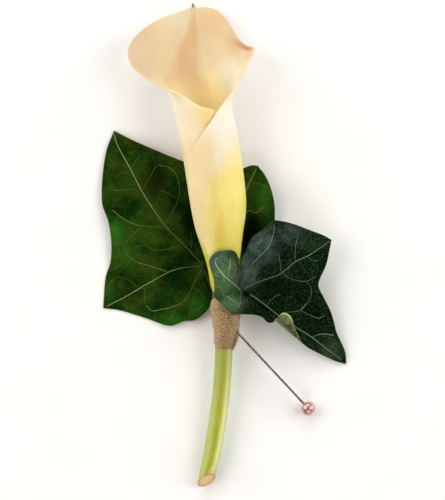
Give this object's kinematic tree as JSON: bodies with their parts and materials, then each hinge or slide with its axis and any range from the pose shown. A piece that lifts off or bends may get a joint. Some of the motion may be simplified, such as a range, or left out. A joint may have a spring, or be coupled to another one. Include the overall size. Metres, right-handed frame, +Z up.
{
  "type": "boutonniere",
  "caption": "Boutonniere lying flat: a rolled cream calla lily over broad ivy leaves, stem bound with tan floral tape, and a pearl-headed pin in the tape.",
  "frame": {"origin": "on the table, under the middle of the whole part's box", "axes": "+Z up from the table, +Y along the flower from the cut stem to the lip's tip, +X to the right as seen from above"},
  "size_m": [0.0768, 0.1518, 0.024],
  "materials": {
    "spathe": "satin",
    "spadix": "matte",
    "stem": "satin",
    "back_leaf": "satin",
    "front_leaf": "satin",
    "floral_tape": "matte",
    "pin_steel": "polished",
    "pearl": "gloss"
  },
  "bodies": {
    "root": {"calla_spathe": "spathe", "calla_spadix": "spadix", "calla_stem": "stem", "ivy_leaf_back": "back_leaf", "ivy_leaf_front": "front_leaf", "stem_wrap": "floral_tape", "pin_shaft": "pin_steel", "pin_pearl": "pearl"}
  },
  "joints": []
}
